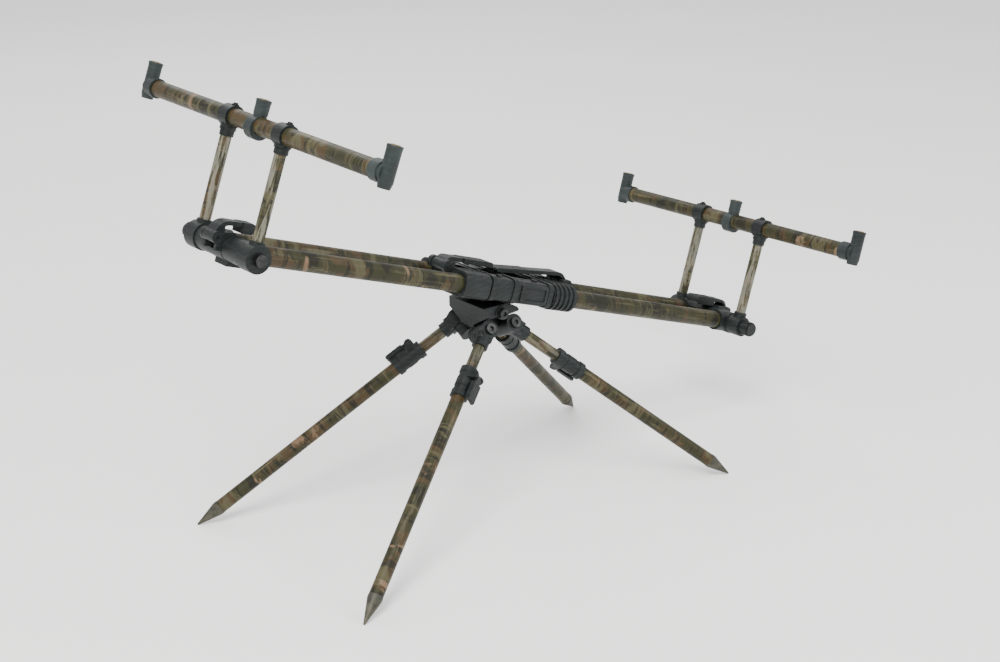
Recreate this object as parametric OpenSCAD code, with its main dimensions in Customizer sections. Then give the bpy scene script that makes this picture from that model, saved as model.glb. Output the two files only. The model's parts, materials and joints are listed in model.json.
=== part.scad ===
// Three-rod fishing rod pod: a level leg cradle, a tilting twin-rail body
// that telescopes at both ends, and a folding goalpost with a crossbar of
// alarm seats at each end. Millimetres, +Z up, ground at Z = 0. The front
// of the pod is towards -X, its left side towards -Y.

/* [Stance] */
// Tilt of the body, front end up, degrees
body_tilt = 18.7; // [10:0.1:19.5]
// Height of the tilt pivot above the ground
pivot_height = 235.7; // [215:0.1:260]
// Angle of the front left leg below the body direction, degrees
front_left_angle = 43.6; // [40:0.1:50]
// Angle of the front right leg, degrees
front_right_angle = 42.0; // [40:0.1:50]
// Angle of the rear left leg, degrees
rear_left_angle = 45.3; // [40:0.1:50]
// Angle of the rear right leg, degrees
rear_right_angle = 45.7; // [40:0.1:50]
// Lean of the front goalpost towards the middle, degrees
front_lean = 2.1; // [0:0.1:5]
// Lean of the rear goalpost towards the middle, degrees
rear_lean = 0.9; // [0:0.1:5]

/* [Body] */
// Distance from the body's middle to each goalpost axle
axle_x = 360; // [340:1:400]
// Distance of each rail from the middle plane
rail_y = 29.5; // [28:0.5:31]
// Outer diameter of the outer rails
outer_rail_d = 20.5; // [20:0.5:21]
// Outer diameter of the inner rails
inner_rail_d = 17.5; // [17:0.1:17.6]
// Half length of the inner rails
inner_rail_half = 250; // [220:5:280]
// Distance of the tilt pivot ahead of the body's middle
pivot_ahead = 12; // [8:1:16]
// Distance of the tilt pivot below the rail axes
pivot_below = 26; // [26:0.5:30]

/* [Goalposts] */
// Height of the crossbar above the goalpost axle
bar_height = 122.5; // [100:0.5:150]
// Distance of each upright from the middle plane
upright_y = 50.8; // [50.8:0.1:56]
// Diameter of the uprights
upright_d = 12; // [10:0.5:12]
// Diameter of the crossbars
bar_d = 18; // [16:0.5:18]
// Distance from the middle seat to each outer seat of the front bar
front_seat_pitch = 221; // [180:1:240]
// Distance from the middle seat to each outer seat of the rear bar
rear_seat_pitch = 196; // [160:1:220]
// Sideways tilt of the front crossbar in its clamps, degrees
front_bar_tilt = 1.2; // [0:0.1:1.5]
// Sideways tilt of the rear crossbar in its clamps, degrees
rear_bar_tilt = 1.1; // [0:0.1:1.5]

/* [Legs] */
// Sideways cant of the front leg hinges, degrees
front_cant = 30.8; // [28:0.1:32]
// Sideways cant of the rear leg hinges, degrees
rear_cant = 27.8; // [26:0.1:30]
// Outer diameter of the inner leg tubes
leg_inner_d = 13; // [12:0.1:13]
// Outer diameter of the outer leg tubes
leg_outer_d = 15.6; // [15.6:0.1:16]
// Inner leg tube that shows between knuckle and clamp, front
front_shown = 30; // [26:1:40]
// Inner leg tube that shows between knuckle and clamp, rear
rear_shown = 46; // [26:1:60]
// Turn of the front left leg's clamp about its leg, degrees
front_left_clamp_turn = 35; // [0:5:60]
// Turn of the rear left leg's clamp about its leg, degrees
rear_left_clamp_turn = 180; // [0:5:180]

/* [Hidden] */

$fn = 48;
FRONT = -1;
REAR = 1;
LEFT = -1;
RIGHT = 1;

// Radial play of sliding and turning pairs, and of a screw in its hole
run_play = 0.05;
screw_play = 0.1;

// Leg hinges, from the tilt pivot
hinge_x = 17.5;
hinge_y = 25.3;
hinge_drop = 19;
hinge_bolt_r = 4;
knuckle_half = 9;
knuckle_r = 10.5;
socket_end = 22;
front_inner_leg = 245;
rear_inner_leg = 235;
spike_tip_r = 1.2;
spike_cone = 29;
clamp_len = 37;
leg_pin_out = 12;
leg_lever_reach = 31;

// Cradle, from the tilt pivot
cradle_half_x = 25;
cradle_half_y = 31.5;
cradle_front_top = 10;
cradle_rear_top = 3;
cradle_floor = -21;
pocket_half_x = 14.5;
pocket_floor = -9.5;
tongue_half = 9;
tongue_r = 8.5;
tilt_bolt_r = 4;

// Saddle and clamp blocks along the body
saddle_front = -44;
saddle_rear = 48;
clamp_front = -46;
clamp_rear = 50;
clamp_block_len = 36;
clamp_grip = 18;
front_lever_pin = [-88.5, 14.5];
rear_lever_pin = [92.5, 12.5];
rear_lever_droop = 3.5;

// End brackets, from the axle
axle_r = 4;
rail_seat = 6.5;
bracket_half = 41.1;
rail_socket_r = 12.8;
front_foot_r = 14.5;
rear_foot_r = 12.2;
foot_width = 18.6;
post_lever_pin = [-20, 9];
lever_ear_r = 6.2;
knob_start = 61.4;
knob_len = 13.6;
knob_r = 9;
upright_foot = 7;

// Alarm seats
seat_top = 26;
seat_foot = -14;
seat_r = 7.5;
seat_collar_r = 10.8;
seat_collar_len = 13;
seat_ring_r = 12;
seat_ring_drop = 2.2;
insert_r = 5.5;
insert_len = 14;
insert_proud = 0.6;
thread_r = 4.1;

// Extents that place the middle of the whole pod over the origin
front_reach = -(axle_x - pivot_ahead - post_lever_pin[0]) * cos(body_tilt)
    + (pivot_below + post_lever_pin[1]) * sin(body_tilt) - lever_ear_r;
rear_bar_x = axle_x + pivot_ahead - bar_height * sin(rear_lean);
rear_bar_z = pivot_below + bar_height * cos(rear_lean);
rear_reach = rear_bar_x * cos(body_tilt) + rear_bar_z * sin(body_tilt)
    + seat_top * sin(body_tilt - rear_lean) + (seat_r + 0.5) * cos(body_tilt - rear_lean);
hub_x = -(front_reach + rear_reach) / 2;

CAMO = [0.36, 0.33, 0.25];
CHARCOAL = [0.23, 0.26, 0.27];
STEEL = [0.62, 0.63, 0.63];
BRASS = [0.72, 0.6, 0.32];
ALLOY = [0.5, 0.5, 0.48];

function leg_angle(end, side) =
    end == FRONT ? (side == LEFT ? front_left_angle : front_right_angle)
    : (side == LEFT ? rear_left_angle : rear_right_angle);
function cant(end) = end == FRONT ? front_cant : rear_cant;
function leg_length(end, side) =
    (pivot_height - hinge_drop - spike_tip_r) / (sin(leg_angle(end, side)) * cos(cant(end)))
    + spike_tip_r;
function shown(end) = end == FRONT ? front_shown : rear_shown;
function clamp_start(end) = socket_end + shown(end);
function inner_leg(end) = end == FRONT ? front_inner_leg : rear_inner_leg;

// ---- frames ----

// The level cradle, origin on the tilt pivot
module at_pivot() translate([hub_x, 0, pivot_height]) children();

// The tilted body, origin midway between the two goalpost axles
module on_body() at_pivot() rotate([0, body_tilt, 0])
    translate([pivot_ahead, 0, pivot_below]) children();

// An end bracket: origin on the axle, +X towards the middle of the body
module at_end(end) on_body() translate([end * axle_x, 0, 0])
    rotate([0, 0, end == REAR ? 180 : 0]) children();

// A goalpost: as its end bracket, but leaning
module on_post(end) at_end(end) rotate([0, end == FRONT ? front_lean : rear_lean, 0]) children();

// The crossbar on a goalpost, tilted sideways in its clamps
module on_bar(end) on_post(end)
    translate([0, 0, bar_height]) rotate([end == FRONT ? front_bar_tilt : rear_bar_tilt, 0, 0])
    children();

// A leg hinge: +Y runs out along the hinge bolt, +X away from the middle
module at_hinge(end, side) mirror([end == FRONT ? 1 : 0, 0, 0]) mirror([0, side == LEFT ? 1 : 0, 0])
    translate([hinge_x, hinge_y, -hinge_drop]) rotate([cant(end), 0, 0]) children();

// A leg: +Z runs down the leg from its hinge, +Y points to its outer side
module on_leg(end, side) at_pivot() at_hinge(end, side)
    rotate([0, 90 + leg_angle(end, side), 0]) children();

// ---- shared shapes ----

module along_x(from, to) translate([from, 0, 0]) rotate([90, 0, 90])
    linear_extrude(to - from) children();

module along_y(from, to) translate([0, to, 0]) rotate([90, 0, 0])
    linear_extrude(to - from) children();

module rod_y(r, from, to) translate([0, to, 0]) rotate([90, 0, 0]) cylinder(r = r, h = to - from);

module rod_x(r, from, to) translate([from, 0, 0]) rotate([0, 90, 0]) cylinder(r = r, h = to - from);

module tube(outer_r, inner_r, from, to) translate([0, 0, from]) difference() {
    cylinder(r = outer_r, h = to - from);
    translate([0, 0, -1]) cylinder(r = inner_r, h = to - from + 2);
}

module round_rect(width, height, r) {
    square([width - 2 * r, height], center = true);
    square([width, height - 2 * r], center = true);
    for (x = [-1, 1], y = [-1, 1])
        translate([x * (width / 2 - r), y * (height / 2 - r)]) circle(r);
}

module both_rails() for (y = [-rail_y, rail_y]) translate([0, y, 0]) children();

module both_uprights() for (y = [-upright_y, upright_y]) translate([0, y, 0]) children();

// Side outline of a cam lever's arm: a cam on the pin and an arm that rises
// in a quarter turn, filled as far as web, and then runs straight as far as to
module arm_outline(cam_r, rise, to, arm, web) {
    circle(cam_r);
    translate([rise, 0]) intersection() {
        difference() {
            circle(rise + arm / 2);
            intersection() {
                circle(rise - arm / 2);
                translate([web - rise, -rise]) square(2 * rise);
            }
        }
        translate([-2 * rise, 0]) square(2 * rise);
    }
    translate([rise, rise - arm / 2]) square([to - rise, arm]);
}

// Side outline of a cam lever's finger pad, a little proud of its arm
module pad_outline(rise, reach, arm, pad_len, pad) translate([0, rise + arm / 2 + 0.4 - pad / 2]) {
    translate([reach - pad_len, -pad / 2]) square([pad_len - pad / 2, pad]);
    translate([reach - pad / 2, 0]) circle(pad / 2);
}

// A cam lever: the pin lies along Y, the handle points along +X
module cam_lever(cam_r, rise, reach, arm, web, pad_len, pad, width, cam_width, pin_r) difference() {
    union() {
        along_y(-cam_width / 2, cam_width / 2)
            arm_outline(cam_r, rise, reach - pad_len + 3, arm, web);
        along_y(-width / 2, width / 2) pad_outline(rise, reach, arm, pad_len, pad);
    }
    rod_y(pin_r, -width, width);
}

// ---- cradle ----

module cradle_side() {
    polygon([[-cradle_half_x, cradle_floor + 5], [-cradle_half_x + 5, cradle_floor],
        [cradle_half_x - 5, cradle_floor], [cradle_half_x, cradle_floor + 5],
        [cradle_half_x, cradle_rear_top - 3], [cradle_half_x - 3, cradle_rear_top],
        [5, cradle_front_top], [-cradle_half_x, cradle_front_top]]);
}

module cradle_block() color(CHARCOAL) at_pivot() difference() {
    union() {
        along_y(-cradle_half_y, cradle_half_y) cradle_side();
        for (side = [-1, 1]) translate([0, side * (cradle_half_y - 1), 0]) rotate([side * 90, 0, 0])
            translate([0, 0, -2.4]) cylinder(r = 9, h = 2.4);
        for (end = [FRONT, REAR], side = [LEFT, RIGHT])
            at_hinge(end, side) rod_y(9.5, -23, -knuckle_half - 0.3);
    }
    translate([-pocket_half_x, -tongue_half - 0.2, pocket_floor])
        cube([2 * pocket_half_x, 2 * tongue_half + 0.4, 50]);
    rod_y(tilt_bolt_r + screw_play, -50, 50);
    for (end = [FRONT, REAR], side = [LEFT, RIGHT]) at_hinge(end, side) {
        translate([-hinge_x, -knuckle_half - 0.3, -60]) cube([60, 80, 60 + knuckle_r + 1]);
        rod_y(hinge_bolt_r + 0.02, -22, 0);
    }
}

module tilt_fasteners() color(STEEL) at_pivot() {
    face = cradle_half_y + 1.4;
    rod_y(tilt_bolt_r, -face - 2, face + 6);
    difference() {
        rod_y(6, -face - 4.4, -face - 1);
        translate([0, -face - 2.6, 0]) rotate([90, 30, 0]) cylinder(r = 3, h = 5, $fn = 6);
    }
    for (side = [-1, 1]) translate([0, side * (face + 0.5), 0]) rotate([90, 0, 0])
        tube(7, tilt_bolt_r + screw_play, -0.5, 0.5);
    translate([0, face + 1, 0]) rotate([-90, 0, 0]) difference() {
        cylinder(r = 7, h = 4.5, $fn = 6);
        translate([0, 0, -1]) cylinder(r = tilt_bolt_r + 0.02, h = 8);
    }
}

module leg_hinge_bolts() color(STEEL) at_pivot()
    for (end = [FRONT, REAR], side = [LEFT, RIGHT]) at_hinge(end, side) {
        rod_y(hinge_bolt_r, -21, knuckle_half + 0.3);
        difference() {
            rod_y(6.2, knuckle_half + 0.3, knuckle_half + 3.2);
            translate([0, knuckle_half + 4, 0]) rotate([90, 0, 0]) cylinder(r = 3, h = 3, $fn = 6);
        }
    }

// ---- saddle ----

module saddle_block() color(CHARCOAL) on_body() difference() {
    union() {
        along_x(saddle_front, saddle_rear) translate([0, 0.5]) round_rect(83, 26, 7);
        for (x = [saddle_front, -12, saddle_rear - 7])
            along_x(x, x + 7) translate([0, 0.75]) round_rect(85.5, 28.5, 8);
        for (side = [-1, 1]) translate([20, side * 41.4, 0.5]) side_frame(40, 21);
        along_y(-tongue_half, tongue_half) {
            translate([-pivot_ahead, -pivot_below]) circle(tongue_r);
            translate([-pivot_ahead - tongue_r, -pivot_below]) square([2 * tongue_r, pivot_below - 11]);
        }
    }
    both_rails() rod_x(inner_rail_d / 2 + 0.02, saddle_front - 1, saddle_rear + 1);
    translate([-36, -15, 6]) cube([28, 30, 20]);
    translate([0, -15, 6]) cube([36, 30, 20]);
    translate([-pivot_ahead, 0, -pivot_below]) rod_y(tilt_bolt_r + run_play, -20, 20);
    for (x = [-27, 26]) both_rails() translate([x, 0, 4]) cylinder(r = 1.6 + screw_play, h = 20);
}

// A raised frame on the saddle's side, long sides along X
module side_frame(length, height) along_y(-1.4, 1.4) difference() {
    round_rect(length, height, 3);
    round_rect(length - 7, height - 7, 2);
}

module inner_rails() color(ALLOY) on_body() both_rails() rotate([0, 90, 0])
    tube(inner_rail_d / 2, inner_rail_d / 2 - 1.5, -inner_rail_half, inner_rail_half);

module saddle_screws() color(STEEL) on_body() for (x = [-27, 26]) both_rails() translate([x, 0, 0]) {
    translate([0, 0, inner_rail_d / 2 + 0.3]) cylinder(r = 1.6, h = 5);
    translate([0, 0, 13.6]) difference() {
        cylinder(r = 3.2, h = 2.4);
        translate([0, 0, 1.2]) cylinder(r = 1.5, h = 3, $fn = 6);
    }
}

// ---- telescoping halves of the body ----

module outer_rails(end) color(CAMO) on_body() both_rails() scale_end(end) rotate([0, 90, 0])
    tube(outer_rail_d / 2, inner_rail_d / 2 + run_play, clamp_from(end) + clamp_grip, axle_x - rail_seat);

// Mirror a shape drawn along +X to the end that it belongs to
module scale_end(end) mirror([end == FRONT ? 1 : 0, 0, 0]) children();

function clamp_from(end) = end == FRONT ? -clamp_front : clamp_rear;

module clamp_block(end) {
    from = clamp_from(end);
    to = from + clamp_block_len;
    pin = end == FRONT ? [-front_lever_pin[0], front_lever_pin[1]] : rear_lever_pin;
    color(CHARCOAL) on_body() scale_end(end) difference() {
        union() {
            along_x(from, to) translate([0, 0.25]) round_rect(86, 28.5, end == FRONT ? 9 : 13);
            for (side = [-1, 1]) translate([0, side * 12.3, 0]) along_y(-2.8, 2.8) {
                translate(pin) circle(7);
                translate([to - 2, pin[1] - 6]) square([pin[0] - to + 2, 12]);
            }
            if (end == REAR) for (x = [from + 2 : 7 : to - 6])
                along_x(x, x + 3.6) translate([0, 0.25]) round_rect(88.4, 30.9, 13.5);
        }
        both_rails() {
            rod_x(inner_rail_d / 2 + run_play, from - 1, to);
            rod_x(outer_rail_d / 2 + 0.02, from + clamp_grip, to + 1);
        }
        translate([from - 1, -rail_y + 6, -1]) cube([clamp_grip - 1, 2 * rail_y - 12, 2]);
        translate([pin[0], 0, pin[1]]) rod_y(2.5 + 0.02, -20, 20);
        translate([from + 7, -8, 10]) cube([clamp_block_len - 14, 16, 10]);
    }
}

module bracket(end) color(CHARCOAL) at_end(end) difference() {
    chunk_floor = end == FRONT ? -18.5 : -13.5;
    union() {
        rod_y(13, -bracket_half, bracket_half);
        rod_y(13.4, -11, 11);
        intersection() {
            both_rails() rod_x(rail_socket_r, 0, 20);
            translate([0, -bracket_half, -rail_socket_r])
                cube([20, 2 * bracket_half, 2 * rail_socket_r]);
        }
        translate([4, -rail_y, -8]) cube([15, 2 * rail_y, 15]);
        translate([-3, -11, chunk_floor]) cube([24, 22, 12]);
        for (side = [-1, 1]) translate([0, side * 10.4, 0]) along_y(-2.1, 2.1) {
            translate(post_lever_pin) circle(lever_ear_r);
            translate([post_lever_pin[0], -4]) square([-post_lever_pin[0], 19.2]);
        }
    }
    rod_y(axle_r + 0.02, -50, 50);
    both_rails() rod_x(outer_rail_d / 2 + 0.02, rail_seat, 40);
    translate([post_lever_pin[0], 0, post_lever_pin[1]]) rod_y(2.02, -20, 20);
    translate([-40, -8.3, -4.5]) cube([34, 16.6, 30]);
    translate([12, -5, -25]) cylinder(r = 2.6, h = 12);
}

module axle(end) color(STEEL) at_end(end) {
    rod_y(axle_r, -knob_start, 70);
    translate([0, -knob_start, 0]) rotate([90, 0, 0]) cylinder(r = 7.2, h = 5, $fn = 6);
}

module lever_pins(end) color(STEEL) {
    pin = end == FRONT ? front_lever_pin : rear_lever_pin;
    on_body() translate([pin[0], 0, pin[1]]) rod_y(2.5, -15, 15);
    at_end(end) translate([post_lever_pin[0], 0, post_lever_pin[1]]) rod_y(2, -12.5, 12.5);
}

// ---- levers and knobs ----

module front_clamp_lever() color(CHARCOAL) on_body()
    translate([front_lever_pin[0], 0, front_lever_pin[1]])
    cam_lever(5.8, 8, 66, 4.5, 4, 42, 5.5, 22, 18, 2.5 + run_play);

module rear_clamp_lever() color(CHARCOAL) on_body()
    translate([rear_lever_pin[0], 0, rear_lever_pin[1]])
    mirror([1, 0, 0]) rotate([0, rear_lever_droop, 0])
    cam_lever(5.8, 12, 107, 4.2, 2, 50, 4.8, 22, 18, 2.5 + run_play);

module post_lever(end) color(CHARCOAL) at_end(end)
    translate([post_lever_pin[0], 0, post_lever_pin[1]])
    if (end == FRONT) cam_lever(6, 15, 44, 4.5, 9, 16, 11, 19, 16, 2 + run_play);
    else cam_lever(6, 12, 58, 3.8, 2, 33, 10, 19, 16, 2 + run_play);

module axle_knob(end) color(CHARCOAL) at_end(end) difference() {
    union() {
        rod_y(knob_r, knob_start, knob_start + knob_len - 2);
        rod_y(knob_r - 1.2, knob_start + knob_len - 2, knob_start + knob_len);
    }
    rod_y(axle_r + run_play, knob_start - 1, 71);
    for (turn = [0 : 45 : 315]) rotate([0, turn, 0]) translate([knob_r + 0.6, 0, 0])
        rod_y(1.4, knob_start + 1.5, knob_start + knob_len + 1);
}

// ---- goalposts ----

module feet(end) color(CHARCOAL) on_post(end) both_uprights() difference() {
    union() {
        rod_y(end == FRONT ? front_foot_r : rear_foot_r, -foot_width / 2, foot_width / 2);
        cylinder(r = 7.8, h = 16.5);
    }
    rod_y(axle_r + run_play, -20, 20);
    translate([0, 0, upright_foot]) cylinder(r = upright_d / 2 + 0.02, h = 30);
}

module uprights(end) color(CAMO) on_post(end) both_uprights()
    tube(upright_d / 2, upright_d / 2 - 1.5, upright_foot, bar_height - bar_d / 2 - 3);

module at_tees(end) on_bar(end) both_uprights() children();

module tee_clamps(end) color(CHARCOAL) difference() {
    union() {
        at_tees(end) {
            rod_y(11.6, -8, 8);
            translate([0, -3, 0]) cylinder(r = 4, h = 12.4);
        }
        on_post(end) both_uprights() translate([0, 0, bar_height - 19.5]) {
            cylinder(r = 7.4, h = 13);
            translate([0, 0, 6]) cylinder(r = 8.4, h = 7);
        }
    }
    at_tees(end) {
        rod_y(bar_d / 2 + run_play, -20, 20);
        translate([0, -3, 0]) cylinder(r = 1.5 + screw_play, h = 20);
    }
    on_post(end) both_uprights() translate([0, 0, bar_height - 40])
        cylinder(r = upright_d / 2 + 0.02, h = 40 - bar_d / 2 - 2.6);
}

module tee_screws(end) color(STEEL) at_tees(end) translate([0, -3, 0]) {
    translate([0, 0, bar_d / 2 + 0.4]) cylinder(r = 1.5, h = 4);
    translate([0, 0, 12.4]) difference() {
        cylinder(r = 2.6, h = 1.6);
        translate([0, 0, 0.7]) cylinder(r = 1.3, h = 3, $fn = 6);
    }
}

function seat_pitch(end) = end == FRONT ? front_seat_pitch : rear_seat_pitch;

module crossbar(end) color(CAMO) on_bar(end) rotate([90, 0, 0])
    tube(bar_d / 2, bar_d / 2 - 1.5, 9 - seat_pitch(end), seat_pitch(end) - 9);

// Turned column of an alarm seat
module seat_column(foot) rotate_extrude() polygon([
    [0, foot], [seat_r - 1.4, foot], [seat_r, foot + 6], [seat_r, seat_top - 5],
    [seat_r + 0.5, seat_top - 1], [seat_r, seat_top], [0, seat_top]]);

module alarm_seats(end) color(CHARCOAL) on_bar(end) difference() {
    union() {
        seat_column(6);
        translate([0, 0, -seat_ring_drop]) rod_y(seat_ring_r, -6.5, 6.5);
        for (side = [-1, 1]) mirror([0, side < 0 ? 1 : 0, 0]) translate([0, seat_pitch(end), 0]) {
            seat_column(seat_foot);
            rod_y(seat_collar_r, -seat_collar_len - 5, -5);
            rod_y(seat_collar_r - 1.3, -5.5, 0);
        }
    }
    rod_y(bar_d / 2 + 0.02, 8.9 - seat_pitch(end), seat_pitch(end) - 8.9);
    for (y = [-1, 0, 1]) translate([0, y * seat_pitch(end), seat_top - insert_len])
        cylinder(r = insert_r + 0.02, h = 30);
}

module seat_inserts(end) color(BRASS) on_bar(end)
    for (y = [-1, 0, 1]) translate([0, y * seat_pitch(end), seat_top - insert_len])
        tube(insert_r, thread_r, 0, insert_len + insert_proud);

// ---- legs ----

module knuckle(end, side) color(CHARCOAL) on_leg(end, side) difference() {
    union() {
        rod_y(knuckle_r, -knuckle_half, knuckle_half);
        cylinder(r = knuckle_half, h = socket_end);
        translate([0, 0, socket_end - 6]) cylinder(r = knuckle_half, h = 6);
        translate([-8, -knuckle_half + 1, 0]) cube([16, 2 * knuckle_half - 2, 14]);
    }
    rod_y(hinge_bolt_r + run_play, -20, 20);
    translate([0, 0, 6]) cylinder(r = leg_inner_d / 2 + 0.02, h = 40);
}

module inner_leg_tube(end, side) color(CAMO) on_leg(end, side)
    tube(leg_inner_d / 2, leg_inner_d / 2 - 1.5, 6.1, inner_leg(end));

module outer_leg_tube(end, side) color(CAMO) on_leg(end, side)
    tube(leg_outer_d / 2, leg_inner_d / 2 + run_play,
        clamp_start(end) + 4, leg_length(end, side) - spike_cone - 4);

function clamp_turn(end, side) =
    side == RIGHT ? 0 : end == FRONT ? front_left_clamp_turn : rear_left_clamp_turn;

// The clamp of a leg: lever on its +Y side
module on_clamp(end, side) on_leg(end, side) translate([0, 0, clamp_start(end)])
    rotate([0, 0, -clamp_turn(end, side)]) children();

module leg_clamp(end, side) color(CHARCOAL) on_clamp(end, side)
    difference() {
        union() {
            cylinder(r = 9.2, h = clamp_len);
            for (z = [0, clamp_len - 7]) translate([0, 0, z]) cylinder(r = 10.2, h = 7);
            translate([0, 0, 13]) cylinder(r = 9.8, h = 11);
            for (x = [-1, 1]) along_x(x * 7.2 - 1.8, x * 7.2 + 1.8) {
                translate([leg_pin_out, 9]) circle(4.8);
                translate([3, 4.2]) square([leg_pin_out - 3, 9.6]);
            }
        }
        translate([0, 0, 4]) cylinder(r = leg_outer_d / 2 + 0.02, h = clamp_len);
        translate([0, 0, -1]) cylinder(r = leg_inner_d / 2 + run_play, h = 10);
        translate([-1, 5, -1]) cube([2, 12, 24]);
        translate([-5.2, 7.3, 3.5]) cube([10.4, 20, 11]);
        translate([0, leg_pin_out, 9]) rod_x(1.75 + run_play, -20, 20);
    }

// The lever of a leg clamp with its own pin, handle pointing down the leg
module leg_lever(end, side) color(CHARCOAL) on_clamp(end, side) translate([0, leg_pin_out, 9])
    rotate([0, 0, 90]) rotate([0, -90, 0]) mirror([0, 0, 1]) {
        cam_lever(3.6, 3, leg_lever_reach, 3.4, 3, 23, 5.4, 15, 9.4, 1);
        rod_y(1.75, -9, 9);
    }

module spike(end, side) color(ALLOY) on_leg(end, side) translate([0, 0, leg_length(end, side)]) {
    translate([0, 0, -spike_cone - 4 - 16]) cylinder(r = leg_inner_d / 2 + run_play - 0.02, h = 17);
    translate([0, 0, -spike_cone - 4]) cylinder(r = leg_outer_d / 2 + 0.3, h = 4);
    translate([0, 0, -spike_cone])
        cylinder(r1 = leg_outer_d / 2 + 0.3, r2 = spike_tip_r, h = spike_cone - spike_tip_r);
    translate([0, 0, -spike_tip_r]) sphere(spike_tip_r);
}

// ---- nodes ----

cradle_block();
tilt_fasteners();
leg_hinge_bolts();
saddle_block();
inner_rails();
saddle_screws();
front_clamp_lever();
rear_clamp_lever();
outer_rails(FRONT);  // front_outer_rails
clamp_block(FRONT);  // front_clamp_block
bracket(FRONT);  // front_bracket
axle(FRONT);  // front_axle
lever_pins(FRONT);  // front_lever_pins
post_lever(FRONT);  // front_post_lever
axle_knob(FRONT);  // front_axle_knob
feet(FRONT);  // front_feet
uprights(FRONT);  // front_uprights
tee_clamps(FRONT);  // front_tee_clamps
tee_screws(FRONT);  // front_tee_screws
crossbar(FRONT);  // front_crossbar
alarm_seats(FRONT);  // front_alarm_seats
seat_inserts(FRONT);  // front_seat_inserts
knuckle(FRONT, LEFT);  // front_left_knuckle
inner_leg_tube(FRONT, LEFT);  // front_left_inner_leg
outer_leg_tube(FRONT, LEFT);  // front_left_outer_leg
leg_clamp(FRONT, LEFT);  // front_left_leg_clamp
leg_lever(FRONT, LEFT);  // front_left_leg_lever
spike(FRONT, LEFT);  // front_left_spike
knuckle(FRONT, RIGHT);  // front_right_knuckle
inner_leg_tube(FRONT, RIGHT);  // front_right_inner_leg
outer_leg_tube(FRONT, RIGHT);  // front_right_outer_leg
leg_clamp(FRONT, RIGHT);  // front_right_leg_clamp
leg_lever(FRONT, RIGHT);  // front_right_leg_lever
spike(FRONT, RIGHT);  // front_right_spike
outer_rails(REAR);  // rear_outer_rails
clamp_block(REAR);  // rear_clamp_block
bracket(REAR);  // rear_bracket
axle(REAR);  // rear_axle
lever_pins(REAR);  // rear_lever_pins
post_lever(REAR);  // rear_post_lever
axle_knob(REAR);  // rear_axle_knob
feet(REAR);  // rear_feet
uprights(REAR);  // rear_uprights
tee_clamps(REAR);  // rear_tee_clamps
tee_screws(REAR);  // rear_tee_screws
crossbar(REAR);  // rear_crossbar
alarm_seats(REAR);  // rear_alarm_seats
seat_inserts(REAR);  // rear_seat_inserts
knuckle(REAR, LEFT);  // rear_left_knuckle
inner_leg_tube(REAR, LEFT);  // rear_left_inner_leg
outer_leg_tube(REAR, LEFT);  // rear_left_outer_leg
leg_clamp(REAR, LEFT);  // rear_left_leg_clamp
leg_lever(REAR, LEFT);  // rear_left_leg_lever
spike(REAR, LEFT);  // rear_left_spike
knuckle(REAR, RIGHT);  // rear_right_knuckle
inner_leg_tube(REAR, RIGHT);  // rear_right_inner_leg
outer_leg_tube(REAR, RIGHT);  // rear_right_outer_leg
leg_clamp(REAR, RIGHT);  // rear_right_leg_clamp
leg_lever(REAR, RIGHT);  // rear_right_leg_lever
spike(REAR, RIGHT);  // rear_right_spike
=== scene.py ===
import json
import math

import bmesh
import bpy
from mathutils import Matrix, Vector


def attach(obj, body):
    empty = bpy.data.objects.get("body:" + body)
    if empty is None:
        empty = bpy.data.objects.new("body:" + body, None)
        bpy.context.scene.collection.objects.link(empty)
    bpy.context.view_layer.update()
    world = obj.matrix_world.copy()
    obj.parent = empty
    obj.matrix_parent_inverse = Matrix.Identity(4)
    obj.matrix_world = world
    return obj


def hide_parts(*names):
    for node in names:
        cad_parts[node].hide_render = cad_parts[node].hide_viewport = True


# The looks of a three-rod pod: a shown mesh for every CAD node, finger ribs on the cam
# levers, and the floor, lights and camera of the photo.

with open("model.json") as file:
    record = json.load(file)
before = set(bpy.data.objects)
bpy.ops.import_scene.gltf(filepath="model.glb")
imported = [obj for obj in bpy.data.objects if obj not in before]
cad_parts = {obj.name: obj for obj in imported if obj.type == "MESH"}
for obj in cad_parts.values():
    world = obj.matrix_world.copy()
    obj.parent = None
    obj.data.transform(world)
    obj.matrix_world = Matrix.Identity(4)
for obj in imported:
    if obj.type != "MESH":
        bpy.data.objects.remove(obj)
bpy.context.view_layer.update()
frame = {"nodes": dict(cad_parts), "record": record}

RECORD = frame["record"]
JOINTS = {joint["name"]: joint for joint in RECORD["behaviour"]["joints"]}
BODIES = RECORD["behaviour"]["bodies"]
BODY_OF = {node: body for body, nodes in BODIES.items() for node in nodes}
SLOT_OF = {part["node"]: part["material_slot"] for part in RECORD["subparts"]}
MOUNTS = {mount["name"]: mount for mount in RECORD["mounts"]}
ENDS = ("front", "rear")
SIDES = ("left", "right")
MM = 0.001


# ---- directions read from the record ----

def unit(values):
    return Vector(values).normalized()


def bar_direction(end):
    left = Vector(MOUNTS[end + "_left_alarm_thread"]["pos_m"])
    right = Vector(MOUNTS[end + "_right_alarm_thread"]["pos_m"])
    return (right - left).normalized()


def tube_direction(node):
    end = node.split("_")[0]
    if node.endswith("rails"):
        return unit(JOINTS["rear_body_slide"]["axis"])
    if node.endswith("uprights"):
        return unit(MOUNTS[end + "_middle_alarm_thread"]["axis"])
    if node.endswith("crossbar"):
        return bar_direction(end)
    leg = "_".join(node.split("_")[:2])
    return unit(JOINTS[leg + "_leg_extend"]["axis"])


# ---- node helpers ----

MIX_FIRST = 6
MIX_SECOND = 7
MIX_RESULT = 2


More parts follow.
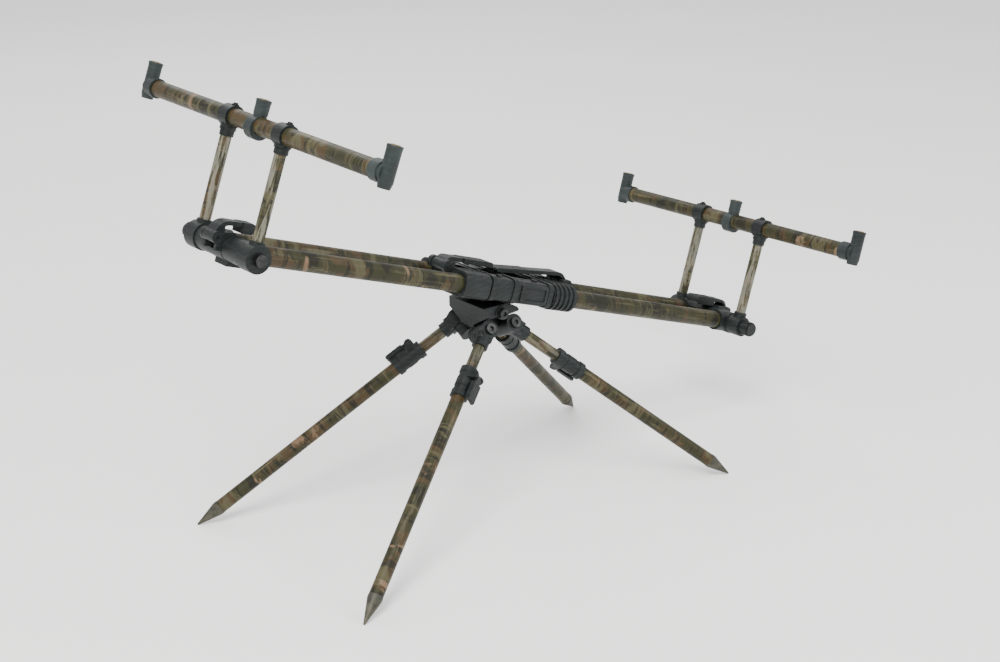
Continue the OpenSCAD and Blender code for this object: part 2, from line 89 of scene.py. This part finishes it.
class Graph:
    """A material's node tree with short calls to add and link nodes."""

    def __init__(self, name):
        self.material = bpy.data.materials.new(name)
        self.material.use_nodes = True
        self.tree = self.material.node_tree
        self.tree.nodes.clear()
        output = self.tree.nodes.new("ShaderNodeOutputMaterial")
        self.shader = self.tree.nodes.new("ShaderNodeBsdfPrincipled")
        self.tree.links.new(self.shader.outputs["BSDF"], output.inputs["Surface"])

    def put(self, socket, value):
        if isinstance(value, bpy.types.NodeSocket):
            self.tree.links.new(value, socket)
        else:
            socket.default_value = value

    def surface(self, **values):
        for key, value in values.items():
            self.put(self.shader.inputs[key.replace("_", " ")], value)

    def coords(self, direction=Vector((0, 0, 1)), scale=(1, 1, 1), shift=(0, 0, 0)):
        """Object coordinates turned so that direction becomes Z, then scaled."""
        source = self.tree.nodes.new("ShaderNodeTexCoord")
        turn = self.tree.nodes.new("ShaderNodeMapping")
        turn.vector_type = "POINT"
        turn.inputs["Rotation"].default_value = direction.rotation_difference(
            Vector((0, 0, 1))).to_euler()
        turn.inputs["Location"].default_value = shift
        self.tree.links.new(source.outputs["Object"], turn.inputs["Vector"])
        stretch = self.tree.nodes.new("ShaderNodeMapping")
        stretch.inputs["Scale"].default_value = scale
        self.tree.links.new(turn.outputs["Vector"], stretch.inputs["Vector"])
        return stretch.outputs["Vector"]

    def noise(self, vector, scale, detail=3.0, roughness=0.5, distortion=0.0):
        node = self.tree.nodes.new("ShaderNodeTexNoise")
        self.tree.links.new(vector, node.inputs["Vector"])
        node.inputs["Scale"].default_value = scale
        node.inputs["Detail"].default_value = detail
        node.inputs["Roughness"].default_value = roughness
        node.inputs["Distortion"].default_value = distortion
        return node.outputs["Fac"]

    def cells(self, vector, scale):
        node = self.tree.nodes.new("ShaderNodeTexVoronoi")
        self.tree.links.new(vector, node.inputs["Vector"])
        node.inputs["Scale"].default_value = scale
        return node.outputs["Distance"]

    def waves(self, vector, scale, distortion, detail=2.0):
        node = self.tree.nodes.new("ShaderNodeTexWave")
        node.bands_direction = "Z"
        self.tree.links.new(vector, node.inputs["Vector"])
        node.inputs["Scale"].default_value = scale
        node.inputs["Distortion"].default_value = distortion
        node.inputs["Detail"].default_value = detail
        return node.outputs["Fac"]

    def ramp(self, factor, stops, sharp=False):
        node = self.tree.nodes.new("ShaderNodeValToRGB")
        node.color_ramp.interpolation = "CONSTANT" if sharp else "LINEAR"
        elements = node.color_ramp.elements
        while len(elements) < len(stops):
            elements.new(0.5)
        for element, (position, color) in zip(elements, stops):
            element.position = position
            element.color = (*color, 1)
        self.tree.links.new(factor, node.inputs["Fac"])
        return node.outputs["Color"]

    def limits(self, factor, low, high, to_low=0.0, to_high=1.0):
        node = self.tree.nodes.new("ShaderNodeMapRange")
        for name, value in (("From Min", low), ("From Max", high),
                            ("To Min", to_low), ("To Max", to_high)):
            node.inputs[name].default_value = value
        self.tree.links.new(factor, node.inputs["Value"])
        return node.outputs["Result"]

    def math(self, operation, first, second):
        node = self.tree.nodes.new("ShaderNodeMath")
        node.operation = operation
        self.put(node.inputs[0], first)
        self.put(node.inputs[1], second)
        return node.outputs["Value"]

    def mix(self, factor, first, second):
        """Blend two colours. A mix node has sockets per data type; these are the colour ones."""
        node = self.tree.nodes.new("ShaderNodeMix")
        node.data_type = "RGBA"
        self.put(node.inputs["Factor"], factor)
        for index, value in ((MIX_FIRST, first), (MIX_SECOND, second)):
            if isinstance(value, tuple):
                value = (*value, 1)
            self.put(node.inputs[index], value)
        return node.outputs[MIX_RESULT]

    def bump(self, height, strength, distance, normal=None):
        node = self.tree.nodes.new("ShaderNodeBump")
        node.inputs["Strength"].default_value = strength
        node.inputs["Distance"].default_value = distance
        self.tree.links.new(height, node.inputs["Height"])
        if normal is not None:
            self.tree.links.new(normal, node.inputs["Normal"])
        return node.outputs["Normal"]


# ---- materials ----

OLIVE = (0.024, 0.0235, 0.0085)
DARK = (0.0085, 0.0086, 0.0042)
BROWN = (0.044, 0.028, 0.011)
KHAKI = (0.062, 0.056, 0.027)
REED = (0.125, 0.110, 0.062)
BLUSH = (0.170, 0.105, 0.062)
PAINTED_SHEEN_TONE = (0.225, 0.215, 0.170)
# Pale grey of the painted sheen streaks on the tubes, which stand in for reflected light and are not
# a print colour.
WORN_PRINT = (0.42, 0.40, 0.34)
FLOW_MARK = (0.036, 0.042, 0.041)
SCUFF = (0.065, 0.074, 0.072)
SPIKE_COLLAR = (0.050, 0.050, 0.042)
SOIL = (0.085, 0.066, 0.044)


def camo(name, direction, shift, sheen_strength=0.0):
    """Satin camouflage print: blotches across the tube, reeds and fine bark. Optional pale streaks
    along the tube are a painted sheen, not print.
    """
    g = Graph(name)
    patches = g.coords(direction, (22, 22, 30), shift)
    broad = g.noise(patches, 1.0, 2.0, 0.55, 0.5)
    base = g.ramp(broad, ((0.0, DARK), (0.38, OLIVE), (0.53, BROWN), (0.63, KHAKI)), sharp=True)
    soft = g.ramp(broad, ((0.34, DARK), (0.46, OLIVE), (0.58, BROWN), (0.70, KHAKI)))
    color = g.mix(0.4, base, soft)
    across = g.coords(direction, (9, 9, 62), (shift[1] + 3, shift[0], shift[2]))
    bands = g.limits(g.noise(across, 1.0, 3.0, 0.6, 0.8), 0.58, 0.61)
    color = g.mix(g.math("MULTIPLY", bands, 0.8), color, KHAKI)
    deep = g.limits(g.noise(across, 1.7, 3.0, 0.6, 1.2), 0.54, 0.58)
    color = g.mix(g.math("MULTIPLY", deep, 0.85), color, DARK)
    pale = g.coords(direction, (12, 12, 34), (shift[2] + 5, shift[1], shift[0] + 2))
    light = g.limits(g.noise(pale, 1.0, 4.0, 0.62, 0.6), 0.635, 0.675)
    color = g.mix(g.math("MULTIPLY", light, 0.8), color, BLUSH)
    reeds = g.coords(direction, (150, 150, 14), shift)
    fibre = g.limits(g.noise(reeds, 1.0, 4.0, 0.7, 0.2), 0.56, 0.66)
    color = g.mix(g.math("MULTIPLY", fibre, 0.45), color, REED)
    bark = g.coords(direction, (60, 60, 420), shift)
    scratch = g.limits(g.noise(bark, 1.0, 5.0, 0.75, 0.4), 0.50, 0.68)
    color = g.mix(g.math("MULTIPLY", scratch, 0.38), color, DARK)
    # Painted sheen: pale streaks along the tube that stand in for reflected light.
    if sheen_strength:
        sheen_streaks = g.coords(direction, (210, 210, 26), (shift[0] + 4, shift[2], shift[1]))
        sheen_mask = g.limits(g.noise(sheen_streaks, 1.0, 3.0, 0.65, 0.3), 0.46, 0.56, 0.05, 1.0)
        color = g.mix(g.math("MULTIPLY", sheen_mask, sheen_strength), color, PAINTED_SHEEN_TONE)
    wear = g.limits(g.cells(g.coords(direction, (240, 240, 60), shift), 1.0), 0.0, 0.055, 1.0, 0.0)
    color = g.mix(g.math("MULTIPLY", wear, 0.35), color, WORN_PRINT)
    fine = g.noise(g.coords(direction, (1500, 1500, 1500), shift), 1.0, 2.0)
    rough = g.limits(g.noise(patches, 2.3, 4.0), 0.3, 0.7, 0.40, 0.56)
    normal = g.bump(fine, 0.12, 0.0002)
    g.surface(Base_Color=color, Roughness=rough, Normal=normal, Specular_IOR_Level=0.20)
    return g.material


def charcoal(name, shift, gain=1.0):
    """Glass-filled nylon: blue-grey, mould grain, faint flow marks and scuffs."""
    g = Graph(name)
    wide = g.noise(g.coords(scale=(28, 28, 28), shift=shift), 1.0, 4.0, 0.6, 0.4)
    tones = ((0.0048, 0.0066, 0.0064), (0.0084, 0.0112, 0.0110), (0.0145, 0.0186, 0.0184))
    color = g.ramp(wide, [(stop, tuple(gain * part for part in tone))
                          for stop, tone in zip((0.30, 0.52, 0.74), tones)])
    flow = g.limits(g.waves(g.coords(scale=(1, 1, 1), shift=shift), 55.0, 9.0), 0.72, 1.0)
    color = g.mix(g.math("MULTIPLY", flow, 0.18), color, FLOW_MARK)
    scuffs = g.limits(g.noise(g.coords(scale=(90, 260, 90), shift=shift), 1.0, 6.0, 0.7), 0.63, 0.72)
    color = g.mix(g.math("MULTIPLY", scuffs, 0.40), color, SCUFF)
    grain = g.noise(g.coords(scale=(2600, 2600, 2600), shift=shift), 1.0, 2.0)
    pits = g.noise(g.coords(scale=(700, 700, 700), shift=shift), 1.0, 3.0, 0.6)
    normal = g.bump(grain, 0.22, 0.00015)
    normal = g.bump(pits, 0.14, 0.0003, normal)
    rough = g.limits(g.math("ADD", g.math("MULTIPLY", wide, 0.6), g.math("MULTIPLY", scuffs, 0.4)),
                     0.2, 0.8, 0.44, 0.66)
    g.surface(Base_Color=color, Roughness=rough, Normal=normal, Specular_IOR_Level=0.20)
    return g.material


METAL_BUMP = 0.1 * MM


def metal(name, tones, rough_range, turn_marks, shift):
    """Machined metal: tones from dark to light, turning marks, stains and pits."""
    g = Graph(name)
    stain = g.noise(g.coords(scale=(160, 160, 160), shift=shift), 1.0, 4.0, 0.62, 0.3)
    color = g.ramp(stain, ((0.32, tones[0]), (0.52, tones[1]), (0.70, tones[2])))
    marks = g.noise(g.coords(scale=turn_marks, shift=shift), 1.0, 3.0, 0.6)
    color = g.mix(g.limits(marks, 0.4, 0.75, 0.0, 0.35), color, tones[2])
    rough = g.limits(marks, 0.3, 0.7, *rough_range)
    pits = g.noise(g.coords(scale=(900, 900, 900), shift=shift), 1.0, 3.0)
    normal = g.bump(g.math("ADD", marks, g.math("MULTIPLY", pits, 0.5)), 0.25, METAL_BUMP)
    g.surface(Base_Color=color, Roughness=rough, Normal=normal, Metallic=1.0)
    return g.material


def spike_finish(name):
    """Cast and turned spike: satin alloy, darker collar, earth rubbed into the tip."""
    g = Graph(name)
    shift = (0.4, 1.1, 2.7)
    stain = g.noise(g.coords(scale=(110, 110, 110), shift=shift), 1.0, 5.0, 0.65, 0.5)
    color = g.ramp(stain, ((0.32, (0.034, 0.034, 0.026)), (0.55, (0.066, 0.065, 0.050)),
                           (0.72, (0.120, 0.117, 0.092))))
    height = g.tree.nodes.new("ShaderNodeSeparateXYZ")
    g.tree.links.new(g.coords(), height.inputs["Vector"])
    low = g.limits(height.outputs["Z"], 0.030, 0.004)
    collar = g.limits(height.outputs["Z"], 0.0205, 0.0235)
    color = g.mix(g.math("MULTIPLY", collar, 0.72), color, SPIKE_COLLAR)
    soil = g.math("MULTIPLY", low, g.limits(stain, 0.42, 0.62))
    color = g.mix(g.math("MULTIPLY", soil, 0.45), color, SOIL)
    rings = g.noise(g.coords(scale=(60, 60, 900), shift=shift), 1.0, 2.0)
    normal = g.bump(rings, 0.3, 0.0002)
    rough = g.limits(stain, 0.3, 0.7, 0.46, 0.66)
    g.surface(Base_Color=color, Roughness=rough, Normal=normal, Metallic=0.5,
              Specular_IOR_Level=0.3)
    return g.material


STEEL = metal("steel", ((0.020, 0.021, 0.021), (0.036, 0.037, 0.037), (0.070, 0.071, 0.069)),
              (0.34, 0.52), (300, 300, 1600), (0.1, 0.2, 0.3))
BRASS = metal("brass", ((0.22, 0.15, 0.060), (0.42, 0.31, 0.14), (0.62, 0.48, 0.25)),
              (0.22, 0.40), (400, 400, 2600), (1.3, 0.7, 0.2))
RAIL = metal("rail_alloy", ((0.050, 0.048, 0.040), (0.095, 0.090, 0.076), (0.15, 0.145, 0.12)),
             (0.30, 0.46), (900, 120, 900), (2.1, 0.4, 1.2))
SPIKE = spike_finish("spike_metal")
PLASTICS = [charcoal("charcoal_plastic_%d" % k, (1.7 * k, 0.6 * k, 2.3 * k)) for k in range(4)]
SEAT_PLASTIC = charcoal("charcoal_plastic_seats", (5.2, 0.9, 3.3), 2.3)


def seed(name):
    """A repeatable shift for a node's texture, from its name."""
    total = sum((k + 1) * ord(letter) for k, letter in enumerate(name))
    return ((total % 17) * 0.71, (total % 23) * 0.53, (total % 29) * 0.37)


# ---- shown meshes ----

WELD = 2e-6
FLAT_ANGLE = math.radians(0.6)
SHARP_ANGLE = math.radians(30)
BEVEL_ANGLE = math.radians(32)


def fresh_copy(node):
    """A copy of a CAD node's mesh, welded, with flat faces merged and sharp edges marked."""
    mesh = frame["nodes"][node].data.copy()
    mesh.name = "shown_" + node
    if "custom_normal" in mesh.attributes:
        mesh.attributes.remove(mesh.attributes["custom_normal"])
    mesh.materials.clear()
    bm = bmesh.new()
    bm.from_mesh(mesh)
    bmesh.ops.remove_doubles(bm, verts=bm.verts, dist=WELD)
    bmesh.ops.dissolve_limit(bm, angle_limit=FLAT_ANGLE, use_dissolve_boundaries=False,
                             verts=bm.verts, edges=bm.edges, delimit={"NORMAL"})
    for face in bm.faces:
        face.smooth = True
    for edge in bm.edges:
        edge.smooth = len(edge.link_faces) != 2 or edge.calc_face_angle(0.0) <= SHARP_ANGLE
    bm.to_mesh(mesh)
    bm.free()
    obj = bpy.data.objects.new("shown_" + node, mesh)
    bpy.context.scene.collection.objects.link(obj)
    return obj


def show(obj, node, material, replaces=True):
    obj.data.materials.append(material)
    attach(obj, BODY_OF[node])
    if replaces:
        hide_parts(node)


def rounded(node, width):
    """As fresh_copy, but every sharp edge is broken by a small bevel."""
    obj = fresh_copy(node)
    for edge in obj.data.edges:
        edge.use_edge_sharp = False
    bevel = obj.modifiers.new("edges", "BEVEL")
    bevel.width = width
    bevel.segments = 2
    bevel.limit_method = "ANGLE"
    bevel.angle_limit = BEVEL_ANGLE
    bevel.use_clamp_overlap = True
    bevel.harden_normals = True
    return obj


def new_object(name, verts, faces):
    mesh = bpy.data.meshes.new(name)
    mesh.from_pydata(verts, [], faces)
    obj = bpy.data.objects.new(name, mesh)
    bpy.context.scene.collection.objects.link(obj)
    return obj


# Brass inserts of the alarm seats, drawn for a 3/8 inch thread. The pitch is a guess,
# because the photo doesn't show it.
INSERT_R = 5.5 * MM
CREST_R = 4.1 * MM
ROOT_R = 4.75 * MM
THREAD_PITCH = 1.058 * MM
INSERT_CHAMFER = 0.25 * MM
THREAD_LEAD_IN = 0.3 * MM
THREAD_RUN_OUT = 0.2 * MM
CREST_FROM = 0.45
CREST_TO = 0.55
INSERT_STEPS = 48


def insert_profile(half):
    """Radius and height of each point round the wall of an insert, half its length each way."""
    profile = [(CREST_R, -half), (INSERT_R, -half), (INSERT_R, half - INSERT_CHAMFER),
               (INSERT_R - INSERT_CHAMFER, half), (ROOT_R, half), (ROOT_R, half - THREAD_LEAD_IN)]
    height = half - THREAD_LEAD_IN
    while height - THREAD_PITCH > -half + THREAD_RUN_OUT:
        profile += [(CREST_R, height - CREST_FROM * THREAD_PITCH),
                    (CREST_R, height - CREST_TO * THREAD_PITCH),
                    (ROOT_R, height - THREAD_PITCH)]
        height -= THREAD_PITCH
    return profile


def threaded_inserts(end):
    """The three brass inserts of a crossbar: chamfered tubes with thread crests inside."""
    verts, faces = [], []
    for side in ("left", "middle", "right"):
        mount = MOUNTS["%s_%s_alarm_thread" % (end, side)]
        axis = unit(mount["axis"])
        turn = Vector((0, 0, 1)).rotation_difference(axis).to_matrix().to_4x4()
        place = Matrix.Translation(mount["pos_m"]) @ turn
        profile = insert_profile(mount["dims"]["length_mm"] * MM / 2)
        count = len(profile)
        start = len(verts)
        for step in range(INSERT_STEPS):
            angle = 2 * math.pi * step / INSERT_STEPS
            for radius, height in profile:
                verts.append(place @ Vector((radius * math.cos(angle),
                                             radius * math.sin(angle), height)))
        for step in range(INSERT_STEPS):
            following = (step + 1) % INSERT_STEPS
            for k in range(count):
                near = (k + 1) % count
                faces.append((start + step * count + k, start + following * count + k,
                              start + following * count + near, start + step * count + near))
    return new_object("shown_%s_seat_inserts" % end, verts, faces)


# Finger ribs of the cam levers
RIB_R = 0.55 * MM
RIB_HEIGHT = 0.7 * RIB_R
RIB_SIDES = 8
RIB_PITCH = 3.0 * MM
RIB_SINK = 0.15 * MM
RIB_INSET = 1.6 * MM
PAD_END_MM = 3.0


def grip_ribs(node, joint, along, away, reach, pad_len, top, width):
    """Raised finger ribs across the pad of a cam lever, from its pin's place."""
    pin = Vector(JOINTS[joint]["pos_m"])
    across = along.cross(away).normalized()
    half_width = width * MM / 2 - RIB_INSET
    verts, faces = [], []
    place = (reach - pad_len) * MM + RIB_PITCH
    while place < (reach - PAD_END_MM) * MM:
        start = len(verts)
        for end in (-1, 1):
            for k in range(RIB_SIDES):
                angle = math.pi * k / (RIB_SIDES - 1)
                verts.append(pin + along * (place + RIB_R * math.cos(angle))
                             + away * (top * MM - RIB_SINK + RIB_HEIGHT * math.sin(angle))
                             + across * end * half_width)
        last = start + 2 * RIB_SIDES - 1
        for k in range(start, start + RIB_SIDES - 1):
            faces.append((k, k + 1, k + RIB_SIDES + 1, k + RIB_SIDES))
        faces.append(tuple(range(start, start + RIB_SIDES)))
        faces.append(tuple(range(last, start + RIB_SIDES - 1, -1)))
        faces.append((start, start + RIB_SIDES, last, start + RIB_SIDES - 1))
        place += RIB_PITCH
    return new_object("ribs_" + node, verts, faces)


BODY_ALONG = unit(JOINTS["rear_body_slide"]["axis"])
BODY_UP = unit((-BODY_ALONG.z, 0, BODY_ALONG.x))
REAR_LEVER_DROOP = 3.5


def leg_lever_directions(leg):
    """Along the leg, and out from its axis through the lever's pin."""
    along = unit(JOINTS[leg + "_leg_extend"]["axis"])
    hinge = Vector(JOINTS[leg + "_leg_fold"]["pos_m"])
    offset = Vector(JOINTS[leg + "_leg_lever_turn"]["pos_m"]) - hinge
    return along, (offset - along * offset.dot(along)).normalized()


def turned(vector, degrees):
    return Matrix.Rotation(math.radians(degrees), 3, "Y") @ vector


# node: joint, directions along the handle and away from the part, then in millimetres
# the reach from the pin, the pad's length, the height of its top over the pin, its width
RIBS = {
    "front_clamp_lever": ("front_clamp_lever_turn", BODY_ALONG, BODY_UP, 66, 42, 10.65, 22),
    "rear_clamp_lever": ("rear_clamp_lever_turn", turned(-BODY_ALONG, -REAR_LEVER_DROOP),
                         turned(BODY_UP, -REAR_LEVER_DROOP), 107, 50, 14.5, 22),
    "front_post_lever": ("front_post_lever_turn", BODY_ALONG, BODY_UP, 44, 16, 17.65, 19),
    "rear_post_lever": ("rear_post_lever_turn", -BODY_ALONG, BODY_UP, 58, 33, 14.3, 19),
}
for end in ENDS:
    for side in SIDES:
        leg = end + "_" + side
        RIBS[leg + "_leg_lever"] = (leg + "_leg_lever_turn", *leg_lever_directions(leg),
                                    31, 23, 5.1, 15)

PLASTIC_EDGE = 0.4 * MM
METAL_EDGE = 0.2 * MM
# Strength of the painted sheen streaks on the uprights and the inner legs; other tubes get none.
UPRIGHT_PAINTED_SHEEN = 0.55
INNER_LEG_PAINTED_SHEEN = 0.30


def painted_sheen_strength(node):
    if node.endswith("uprights"):
        return UPRIGHT_PAINTED_SHEEN
    return INNER_LEG_PAINTED_SHEEN if "inner_leg" in node else 0.0


for index, node in enumerate(sorted(SLOT_OF)):
    slot = SLOT_OF[node]
    if slot == "camo_tube":
        show(fresh_copy(node), node, camo("camo_" + node, tube_direction(node), seed(node),
                                          painted_sheen_strength(node)))
    elif slot == "charcoal_plastic":
        plastic = SEAT_PLASTIC if "seats" in node else PLASTICS[index % len(PLASTICS)]
        show(rounded(node, PLASTIC_EDGE), node, plastic)
    elif slot == "steel":
        show(rounded(node, METAL_EDGE), node, STEEL)
    elif slot == "brass":
        show(threaded_inserts(node.split("_")[0]), node, BRASS)
    elif slot == "spike_metal":
        show(rounded(node, METAL_EDGE), node, SPIKE)
    else:
        show(fresh_copy(node), node, RAIL)

for node, details in RIBS.items():
    show(grip_ribs(node, *details), node, PLASTICS[1], replaces=False)


# ---- stage ----

def floor_material():
    g = Graph("floor")
    mottle = g.noise(g.coords(scale=(3, 3, 3)), 1.0, 3.0)
    color = g.ramp(mottle, ((0.3, (0.93, 0.93, 0.925)), (0.7, (0.95, 0.95, 0.945))))
    g.surface(Base_Color=color, Roughness=0.75, Specular_IOR_Level=0.15)
    return g.material


FLOOR_HALF = 14.0
floor = new_object("floor", [(-FLOOR_HALF, -FLOOR_HALF, 0), (FLOOR_HALF, -FLOOR_HALF, 0),
                             (FLOOR_HALF, FLOOR_HALF, 0), (-FLOOR_HALF, FLOOR_HALF, 0)],
                   [(0, 1, 2, 3)])
floor.data.materials.append(floor_material())

WORLD_STRENGTH = 1.15
world = bpy.data.worlds.new("studio")
bpy.context.scene.world = world
world.use_nodes = True
background = world.node_tree.nodes["Background"]
background.inputs["Color"].default_value = (1.0, 1.0, 1.0, 1)
background.inputs["Strength"].default_value = WORLD_STRENGTH


def area_light(name, place, target, size, power, color=(1, 1, 1)):
    data = bpy.data.lights.new(name, "AREA")
    data.shape = "DISK"
    data.size = size
    data.energy = power
    data.color = color
    light = bpy.data.objects.new(name, data)
    light.location = place
    light.rotation_euler = (Vector(target) - Vector(place)).to_track_quat("-Z", "Y").to_euler()
    bpy.context.scene.collection.objects.link(light)


area_light("key", (-1.6, -1.2, 2.6), (0, 0, 0.2), 1.5, 130.0, (1.0, 0.985, 0.96))
area_light("fill", (1.8, -2.0, 1.8), (0, 0, 0.25), 1.8, 34.0, (0.96, 0.98, 1.0))
area_light("back", (0.8, 2.4, 2.2), (0, 0, 0.3), 1.8, 26.0)

SENSOR_WIDTH = 36.0
LENS = 61.687
CAMERA_PLACE = (-1.1583, -1.42852, 0.87066)
CAMERA_TURN = (1.219874, 0.012249, -0.680556)
camera_data = bpy.data.cameras.new("camera")
camera_data.sensor_width = SENSOR_WIDTH
camera_data.lens = LENS
camera = bpy.data.objects.new("camera", camera_data)
camera.location = CAMERA_PLACE
camera.rotation_euler = CAMERA_TURN
bpy.context.scene.collection.objects.link(camera)
bpy.context.scene.camera = camera
